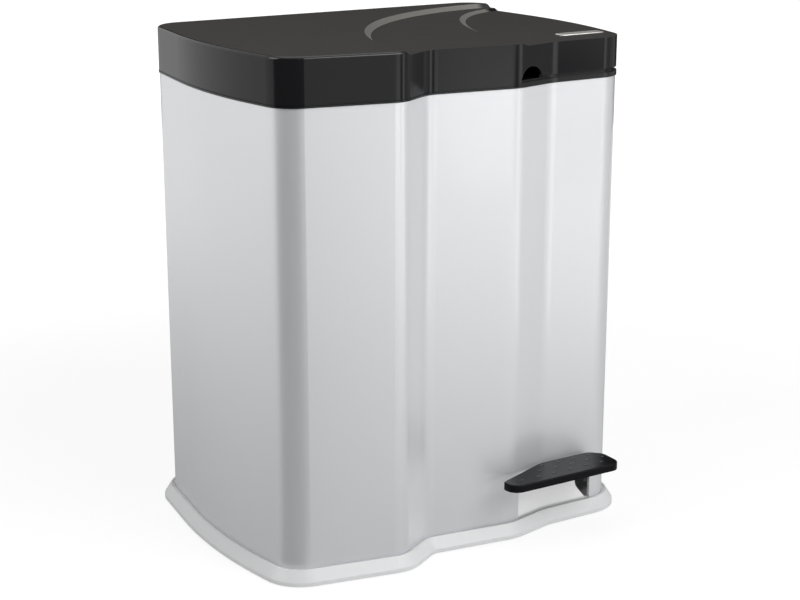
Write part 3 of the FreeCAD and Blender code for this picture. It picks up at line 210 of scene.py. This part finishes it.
class Finish(Nodes):
    """A material that is being written. Its principled shader is the one that inputs are set on."""

    def __init__(self, name):
        self.material = bpy.data.materials.new(name)
        self.material.use_nodes = True
        super().__init__(self.material.node_tree)
        self.shader = self.tree.nodes["Principled BSDF"]

    def set(self, **values):
        """Set or link the shader's inputs. Underscores stand for the spaces in their names."""
        for name, value in values.items():
            self.feed(self.shader.inputs[name.replace("_", " ")], value)

    def place(self):
        """The object's own coordinates, in metres."""
        return self.add("ShaderNodeTexCoord", output="Object")

    def part(self, vector, axis):
        """One of a vector's X, Y and Z."""
        return self.add("ShaderNodeSeparateXYZ", values={0: vector}, output=axis)

    def noise(self, scale, detail=2.0, vector=None):
        values = {"Vector": vector or self.place(), "Scale": scale, "Detail": detail}
        return self.add("ShaderNodeTexNoise", values=values, output="Fac")

    def stretched(self, x, y, z):
        """The object's own coordinates, stretched along each axis."""
        return self.add("ShaderNodeVectorMath", {"operation": "MULTIPLY"},
                        {0: self.place(), 1: (x, y, z)}, "Vector")

    def between(self, factor, first, second):
        """A colour between two colours."""
        return self.add("ShaderNodeMix", {"data_type": "RGBA"}, {0: factor, 6: first, 7: second}, 2)

    def bump(self, height, depth, strength=1.0):
        """A normal that a height field gives, where depth is the height's full size in metres."""
        values = {"Height": height, "Distance": depth, "Strength": strength}
        return self.add("ShaderNodeBump", values=values, output="Normal")

    def varied(self, base, scale, amount):
        """A colour that drifts a little darker and lighter over the surface."""
        return self.between(self.noise(scale, 3.0), dimmed(base, 1 - amount), dimmed(base, 1 + amount))


def dimmed(colour, share):
    """A colour times a share of its brightness."""
    return tuple(min(1.0, channel * share) for channel in colour)


def coat_node(name, finish):
    """Give a part of the frame its finish."""
    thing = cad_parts[name]
    for holder in thing.material_slots:
        holder.material = finish.material


# ---------------------------------------------------------------------------------------------------
# Finishes
# ---------------------------------------------------------------------------------------------------

def lacquered_steel(base):
    """White to silver lacquer on rolled sheet: a clear gloss over a soft metallic ground."""
    paint = Finish("lacquered_steel")
    rolled = paint.noise(90, 2.0, paint.stretched(1, 1, 0.15))
    orange_peel = paint.noise(420, 1.0)
    paint.set(Base_Color=paint.varied(tuple(base), 6, 0.012),
              Metallic=0.60,
              Roughness=0.36 + 0.05 * rolled,
              Coat_Weight=0.7,
              Coat_Roughness=0.06,
              Normal=paint.bump(orange_peel, 0.02 * MM, 0.25))
    return paint


def white_plastic(base, upstand_painted_light):
    """Injection-moulded white plastic, satin on the plinth and polished above it, with painted light: a
    darker white on the plinth and a brighter white above it.
    """
    plastic = Finish("white_plastic")
    flow = plastic.noise(14, 3.0)
    # Above the plinth the plastic is smoother, and its white is painted brighter as painted light.
    polished = plastic.part(plastic.place(), "Z").ramp(PLINTH_TOP, PLINTH_TOP + 2 * MM)
    # The plinth's white, set darker as painted shade.
    plinth = plastic.varied(tuple(base), 9, 0.015)
    plastic.set(Base_Color=plastic.between(polished, plinth, tuple(upstand_painted_light)),
                Roughness=0.36 - 0.1 * polished + 0.1 * flow,
                Normal=plastic.bump(plastic.noise(900, 2.0), 0.02 * MM, 0.3))
    return plastic


def lid_plastic(side, top, bevel_highlight_colour):
    """Polished skirt and edges, grained levels and a painted highlight on the bevels, told apart by
    which way they face. The lid's outer edge slopes as the bevels do, so they are also told apart by
    place."""
    plastic = Finish("lid_plastic")
    facing_up = plastic.part(plastic.add("ShaderNodeTexCoord", output="Normal"), "Z")
    level = facing_up.ramp(0.955, 0.985)
    across = plastic.part(plastic.place(), "X").within(*BEVELS_ACROSS, 5 * MM)
    along = plastic.part(plastic.place(), "Y").within(*BEVELS_ALONG, 5 * MM)
    # Where the painted highlight goes: the sloping bevels between the lid's levels.
    bevel_highlight_mask = facing_up.ramp(0.25, 0.40) * (1 - level) * across * along
    pits = plastic.add("ShaderNodeTexVoronoi", {"feature": "SMOOTH_F1"},
                       {"Vector": plastic.place(), "Scale": 1150.0}, "Distance")
    speckle = plastic.noise(1500, 2.0).ramp(0.42, 0.72)
    cloud = plastic.noise(26, 3.0)
    grained = plastic.between(speckle, dimmed(top, 0.8), dimmed(top, 1.55))
    # The skirt's black, with the painted highlight on the bevels.
    skirt_and_bevel_highlight = plastic.between(bevel_highlight_mask, tuple(side), tuple(bevel_highlight_colour))
    plastic.set(Base_Color=plastic.between(level, skirt_and_bevel_highlight, grained),
                Roughness=0.16 + level * (0.40 + 0.1 * cloud) + 0.12 * bevel_highlight_mask,
                Specular_IOR_Level=0.33,
                Normal=plastic.bump(pits * level, 0.18 * MM, 0.55))
    return plastic


def glossy_black(base):
    """Black plastic from a polished mould."""
    plastic = Finish("glossy_black")
    plastic.set(Base_Color=plastic.varied(tuple(base), 30, 0.08),
                Roughness=0.20 + 0.06 * plastic.noise(40, 3.0),
                Normal=plastic.bump(plastic.noise(700, 2.0), 0.02 * MM, 0.2))
    return plastic


def grained_plastic(name, base, rough, shine=0.5):
    """Moulded plastic with a fine spark-eroded grain."""
    plastic = Finish(name)
    plastic.set(Base_Color=plastic.varied(tuple(base), 40, 0.06),
                Roughness=rough + 0.12 * plastic.noise(60, 3.0),
                Specular_IOR_Level=shine,
                Normal=plastic.bump(plastic.noise(1400, 2.0), 0.08 * MM, 0.5))
    return plastic


def zinc_plate(base):
    """Bright zinc with faint crystals and rolling lines."""
    metal = Finish("zinc_plate")
    crystals = metal.add("ShaderNodeTexVoronoi", {"feature": "F1"},
                         {"Vector": metal.place(), "Scale": 300.0}, "Distance")
    lines = metal.noise(240, 2.0, metal.stretched(0.1, 1, 1))
    metal.set(Base_Color=metal.between(crystals, tuple(base), dimmed(base, 0.82)),
              Metallic=1.0,
              Roughness=0.26 + 0.16 * lines,
              Normal=metal.bump(lines, 0.03 * MM, 0.4))
    return metal


def powder_coat(base):
    """Black powder coat with its fine orange peel."""
    paint = Finish("powder_coat")
    peel = paint.noise(520, 3.0)
    paint.set(Base_Color=paint.varied(tuple(base), 50, 0.1),
              Roughness=0.42 + 0.1 * peel,
              Normal=paint.bump(peel, 0.1 * MM, 0.5))
    return paint


def soft_rubber():
    """Black rubber with a little dust in its grain."""
    rubber = Finish("soft_rubber")
    dust = rubber.noise(180, 4.0).ramp(0.5, 0.8)
    rubber.set(Base_Color=rubber.between(dust, (0.018, 0.018, 0.018), (0.05, 0.05, 0.048)),
               Roughness=0.78 + 0.1 * dust,
               Normal=rubber.bump(rubber.noise(800, 3.0), 0.08 * MM, 0.5))
    return rubber


def satin_metal(base):
    """Satin bar with brushing along its length."""
    metal = Finish("satin_metal")
    brushed = metal.noise(1600, 2.0, metal.stretched(0.05, 1, 1))
    metal.set(Base_Color=metal.varied(tuple(base), 60, 0.04),
              Metallic=0.75,
              Roughness=0.28 + 0.14 * brushed,
              Normal=metal.bump(brushed, 0.03 * MM, 0.35))
    return metal


# ---------------------------------------------------------------------------------------------------
# Meshes
# ---------------------------------------------------------------------------------------------------

def mesh_piece(name, mesh, finish, body):
    """A smooth-shaded piece from a bmesh, riding on a body of the frame."""
    data = bpy.data.meshes.new(name)
    mesh.to_mesh(data)
    mesh.free()
    data.shade_smooth()
    data.materials.append(finish.material)
    piece = bpy.data.objects.new(name, data)
    bpy.context.scene.collection.objects.link(piece)
    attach(piece, body)


def domed_bar(mesh, middle, long, wide, high, power=4.0, steps=40, rings=6):
    """A low pad with a superellipse outline and a rounded shoulder, added to a bmesh. The higher the
    power, the squarer its corners."""
    rows = []
    for ring in range(rings + 1):
        turn = math.pi / 2 * ring / rings
        shrink = 1 - (1 - math.cos(turn)) * high * 2 / wide
        lift = math.sin(turn)
        row = []
        for step in range(steps):
            angle = 2 * math.pi * step / steps
            x, y = math.cos(angle), math.sin(angle)
            radius = (abs(x) ** power + abs(y) ** power) ** (-1 / power)
            half_long = long / 2 - wide / 2 * (1 - shrink)
            half_wide = wide / 2 * shrink
            place = Vector((x * radius * half_long, y * radius * half_wide, high * lift))
            row.append(mesh.verts.new(middle + place))
        rows.append(row)
    for low, top in zip(rows, rows[1:]):
        for i in range(steps):
            j = (i + 1) % steps
            mesh.faces.new((low[i], low[j], top[j], top[i]))
    mesh.faces.new(rows[-1])
    mesh.faces.new(tuple(reversed(rows[0])))


# ---------------------------------------------------------------------------------------------------
# Operators: one for each piece or group of like pieces
# ---------------------------------------------------------------------------------------------------

class BIN_OT_steel_jacket(bpy.types.Operator):
    """Lacquer the wrapped steel body"""
    bl_idname = "bin.steel_jacket"
    bl_label = "Steel jacket"

    def execute(self, context):
        coat_node("steel_jacket", lacquered_steel(context.scene.bin_colours.steel))
        return {"FINISHED"}


class BIN_OT_base(bpy.types.Operator):
    """Finish the base moulding and its rubber feet"""
    bl_idname = "bin.base"
    bl_label = "Base"

    def execute(self, context):
        colours = context.scene.bin_colours
        coat_node("base_moulding", white_plastic(colours.base, colours.upstand_painted_light))
        rubber = soft_rubber()
        for name in ("rubber_feet", "lid_buffers"):
            coat_node(name, rubber)
        return {"FINISHED"}


class BIN_OT_lid(bpy.types.Operator):
    """Finish the lid with its polished skirt, grained levels and a painted highlight on its bevels"""
    bl_idname = "bin.lid"
    bl_label = "Lid"

    def execute(self, context):
        colours = context.scene.bin_colours
        plastic = lid_plastic(colours.lid_side, colours.lid_top, colours.bevel_highlight_colour)
        coat_node("lid_shell", plastic)
        return {"FINISHED"}


class BIN_OT_rim(bpy.types.Operator):
    """Finish the rim frame, the pin caps and the crank under the lid"""
    bl_idname = "bin.rim"
    bl_label = "Rim"

    def execute(self, context):
        gloss = glossy_black(context.scene.bin_colours.lid_side)
        for name in ("upper_rim", "pin_caps", "lid_crank"):
            coat_node(name, gloss)
        return {"FINISHED"}


class BIN_OT_badge(bpy.types.Operator):
    """Make the blank satin bar that lies on the lid's lowest level"""
    bl_idname = "bin.badge"
    bl_label = "Badge bar"

    def execute(self, context):
        sizes = context.scene.bin_sizes
        middle = Vector((BODY_HIGH.x - sizes.badge_from_side, BODY_LOW.y + sizes.badge_from_front,
                         LID_HIGH.z - LEVELS_DROP))
        mesh = bmesh.new()
        domed_bar(mesh, middle, sizes.badge_long, sizes.badge_wide, sizes.badge_thick,
                  power=9.0, steps=64)
        mesh_piece("badge_bar", mesh, satin_metal(context.scene.bin_colours.badge), "lid")
        return {"FINISHED"}


class BIN_OT_pedal(bpy.types.Operator):
    """Finish the pedal and raise its rows of grip pips"""
    bl_idname = "bin.pedal"
    bl_label = "Pedal"

    def execute(self, context):
        sizes = context.scene.bin_sizes
        colours = context.scene.bin_colours
        plastic = grained_plastic("pedal_plastic", colours.pedal, 0.26, shine=0.12)
        coat_node("pedal_pad", plastic)
        mesh = bmesh.new()
        for row in range(sizes.pip_rows):
            y = PAD_LOW.y + sizes.pip_from_front + sizes.pip_row_pitch * row
            right = PAD_HIGH.x - sizes.pip_from_side + sizes.pip_pitch / 2 * (row % 2)
            for i in range(sizes.pips_in_row - row):
                middle = Vector((right - sizes.pip_pitch * i, y, PAD_HIGH.z))
                domed_bar(mesh, middle, sizes.pip_long, sizes.pip_wide, sizes.pip_high,
                          power=2.2, steps=20, rings=4)
        # The pips get a lighter black than the pedal.
        lighter_pips = grained_plastic("lighter_pip_plastic", colours.pip, 0.22)
        mesh_piece("pedal_pips", mesh, lighter_pips, "pedal")
        return {"FINISHED"}


class BIN_OT_buckets(bpy.types.Operator):
    """Finish the pair of inner buckets"""
    bl_idname = "bin.buckets"
    bl_label = "Buckets"

    def execute(self, context):
        finish = grained_plastic("bucket_plastic", context.scene.bin_colours.bucket, 0.46)
        for name in ("bucket_left", "bucket_right"):
            coat_node(name, finish)
        return {"FINISHED"}


class BIN_OT_levers(bpy.types.Operator):
    """Finish the pedal arm, the levers, the push rod and their bearings"""
    bl_idname = "bin.levers"
    bl_label = "Levers"

    def execute(self, context):
        colours = context.scene.bin_colours
        coat_node("pedal_arm", powder_coat(colours.pedal))
        zinc = zinc_plate(colours.zinc)
        for name in ("cross_shaft", "rear_arm", "shaft_clips", "push_rod", "hinge_pins", "jacket_screws",
                     "bearing_screws", "crank_screws", "pad_screws", "guide_screws"):
            coat_node(name, zinc)
        nylon = grained_plastic("natural_nylon", colours.nylon, 0.38)
        for name in ("shaft_bearings", "rod_bush", "rod_guide", "rod_head", "rod_foot"):
            coat_node(name, nylon)
        return {"FINISHED"}


def light_box(name, place, aim, size, power):
    """A rectangular soft box that faces a point."""
    lamp = bpy.data.lights.new(name, "AREA")
    lamp.shape = "RECTANGLE"
    lamp.size, lamp.size_y = size       # width and height
    lamp.energy = power
    box = bpy.data.objects.new(name, lamp)
    box.location = place
    box.rotation_euler = (Vector(aim) - Vector(place)).to_track_quat("-Z", "Y").to_euler()
    bpy.context.scene.collection.objects.link(box)
    return box


class BIN_OT_stage(bpy.types.Operator):
    """Build the studio: camera, floor, soft boxes, surround and what reflections see"""
    bl_idname = "bin.stage"
    bl_label = "Stage"

    def execute(self, context):
        studio = context.scene.bin_studio
        self.camera(studio)
        self.floor()
        self.table()
        self.cards()
        self.lights(studio)
        self.surround(studio.fill)
        context.scene.view_settings.view_transform = "Standard"
        return {"FINISHED"}

    def cards(self):
        """The front corner and the crests reflect the dark cards at the bin's foot. The far cards in
        front lie where the lid's skirt reflects them. The card at the back darkens the lid's top."""
        corner = (BODY_LOW.x + 20 * MM, -110 * MM)
        first_crest = (-60 * MM, -143 * MM)
        second_crest = (60 * MM, -135 * MM)
        self.card("dark_corner_card", (-96, 3), 0.12, apex=corner)
        self.card("first_crest_card", (76, 104), 0.42, apex=first_crest)
        self.card("second_crest_card", (50, 74), 0.42, apex=second_crest)
        self.card("soft_front_card", (17, 29), 1.7, near=1.85, far=3.4, high=0.1)
        self.card("dark_front_card", (31, 41), 0.05, near=1.85, far=3.4, high=0.1)
        self.card("bright_strip", (43, 50), 1.9, near=0.9, far=2.6, high=1.4)
        self.card("dark_back_card", (98, 182), 0.05, near=2.4, far=2.6)

    def lights(self, studio):
        middle = Vector((0, 0, 0.3))
        window = Vector((0.1, -0.13, 0.06))
        light_box("key_box", (0.7, -1.7, 1.6), middle, (1.3, 1.1), studio.key_power)
        light_box("side_box", (-1.9, 0.2, 1.4), middle, (1.1, 1.1), studio.side_power)
        foot_box = light_box("foot_box", (0.45, -1.25, 0.2), window, (0.9, 0.3), studio.foot_power)
        foot_box.visible_glossy = False
        light_box("top_box", (0.1, 0.2, 2.0), middle, (1.4, 1.4), studio.top_power)

    def floor(self):
        """A wide pale floor. The camera sees it white, less the bin's soft shadow."""
        pale = Finish("pale_floor")
        pale.set(Base_Color=(0.80, 0.80, 0.80), Roughness=0.85, Specular_IOR_Level=0.1)
        seen = pale.ray("Camera").greater(pale.ray("Transmission"))
        glow = pale.add("ShaderNodeEmission", values={"Color": WHITE, "Strength": 1.14})
        share = seen * (0.70 + 0.30 * self.away(pale).ramp(0.5, 1.6))
        lit = Wire(pale, pale.shader.outputs[0])
        shown = pale.add("ShaderNodeMixShader", values={0: share, 1: lit, 2: glow})
        pale.feed(pale.tree.nodes["Material Output"].inputs["Surface"], shown)
        self.stand("floor", self.disc(), pale).visible_glossy = False

    def table(self):
        """What reflections see of the floor: pale far away and greyer towards the bin's foot, as painted
        shade for the bin's shadow on the floor.
        """
        shade = Finish("shaded_table")
        glow = shade.between(self.away(shade).ramp(0.0, 1.9), (0.30, 0.31, 0.31), (0.82, 0.82, 0.82))
        self.glow(shade, glow, 1.0)
        self.for_reflections(self.stand("table", self.disc(), shade))

    def glow(self, finish, colour, strength):
        """Make a finish shine by itself and reflect nothing."""
        finish.set(Base_Color=BLACK, Specular_IOR_Level=0.0, Emission_Color=colour,
                   Emission_Strength=strength)

    def away(self, finish):
        """How far a place is from the bin's middle."""
        return finish.add("ShaderNodeVectorMath", {"operation": "LENGTH"}, {0: finish.place()}, "Value")

    def disc(self):
        """A disc so wide that no view shows its edge."""
        mesh = bmesh.new()
        bmesh.ops.create_circle(mesh, cap_ends=True, radius=14, segments=96)
        return mesh

    def for_reflections(self, thing):
        """Hide a stage object from all but reflections."""
        thing.visible_camera = False
        thing.visible_diffuse = False
        thing.visible_shadow = False
        thing.visible_transmission = False

    def stand(self, name, mesh, finish):
        """Put a stage object in the scene."""
        data = bpy.data.meshes.new(name)
        mesh.to_mesh(data)
        mesh.free()
        data.materials.append(finish.material)
        thing = bpy.data.objects.new(name, data)
        bpy.context.scene.collection.objects.link(thing)
        return thing

    def card(self, name, bearings, brightness, apex=(0, 0), near=0.01, far=3.2, high=3.4):
        """A studio card that only reflections see: a sector that lies on the floor round an apex and
        then stands up. Bearings are in degrees from straight ahead of the bin, to its right."""
        mesh = bmesh.new()
        first, last = bearings
        section = ((near, CARD_LIFT), (far, CARD_LIFT), (far, high))
        rows = []
        for i in range(CARD_STEPS + 1):
            turn = math.radians(first + (last - first) * i / CARD_STEPS)
            right, front = math.sin(turn), -math.cos(turn)
            rows.append([mesh.verts.new((apex[0] + reach * right, apex[1] + reach * front, z))
                         for reach, z in section])
        for one, two in zip(rows, rows[1:]):
            for k in range(len(section) - 1):
                mesh.faces.new((one[k], two[k], two[k + 1], one[k + 1]))
        finish = Finish(name)
        self.glow(finish, WHITE, brightness)
        self.for_reflections(self.stand(name, mesh, finish))

    def surround(self, fill):
        """White where the camera or a reflection looks, and an even fill for the rest."""
        world = bpy.data.worlds.new("surround")
        bpy.context.scene.world = world
        world.use_nodes = True
        sky = Nodes(world.node_tree)
        seen = sky.ray("Camera").greater(sky.ray("Glossy")).greater(sky.ray("Transmission"))
        backdrop = sky.tree.nodes["Background"]
        sky.feed(backdrop.inputs["Color"], WHITE)
        sky.feed(backdrop.inputs["Strength"], fill + (1 - fill) * seen)

    def camera(self, studio):
        """A camera at the photograph's angle."""
        lens = bpy.data.cameras.new("camera")
        lens.lens = studio.lens
        lens.sensor_width = 36
        camera = bpy.data.objects.new("camera", lens)
        camera.location = studio.camera_place
        camera.rotation_euler = Euler((math.pi / 2 - studio.camera_pitch, 0, -studio.camera_yaw))
        bpy.context.scene.collection.objects.link(camera)
        bpy.context.scene.camera = camera


GROUPS = {"bin_colours": BinColours, "bin_sizes": BinSizes, "bin_studio": BinStudio}
OPERATORS = (BIN_OT_steel_jacket, BIN_OT_base, BIN_OT_lid, BIN_OT_rim, BIN_OT_badge, BIN_OT_pedal,
             BIN_OT_buckets, BIN_OT_levers, BIN_OT_stage)


class BIN_PT_looks(bpy.types.Panel):
    """Lists the steps that dress the bin"""
    bl_label = "Recycling Bin"
    bl_idname = "BIN_PT_looks"
    bl_space_type = "VIEW_3D"
    bl_region_type = "UI"
    bl_category = "Bin"

    def draw(self, context):
        for group in GROUPS:
            settings = getattr(context.scene, group)
            for name in settings.bl_rna.properties.keys():
                if name not in ("rna_type", "name"):
                    self.layout.prop(settings, name)
        for operator in OPERATORS:
            self.layout.operator(operator.bl_idname)


def register():
    for group in GROUPS.values():
        bpy.utils.register_class(group)
    for name, group in GROUPS.items():
        setattr(bpy.types.Scene, name, PointerProperty(type=group))
    for operator in OPERATORS:
        bpy.utils.register_class(operator)
    bpy.utils.register_class(BIN_PT_looks)


def unregister():
    bpy.utils.unregister_class(BIN_PT_looks)
    for operator in reversed(OPERATORS):
        bpy.utils.unregister_class(operator)
    for name in GROUPS:
        delattr(bpy.types.Scene, name)
    for group in reversed(GROUPS.values()):
        bpy.utils.unregister_class(group)


def main():
    register()
    for operator in OPERATORS:
        getattr(bpy.ops.bin, operator.bl_idname.split(".")[1])()


if __name__ == "__main__":
    main()
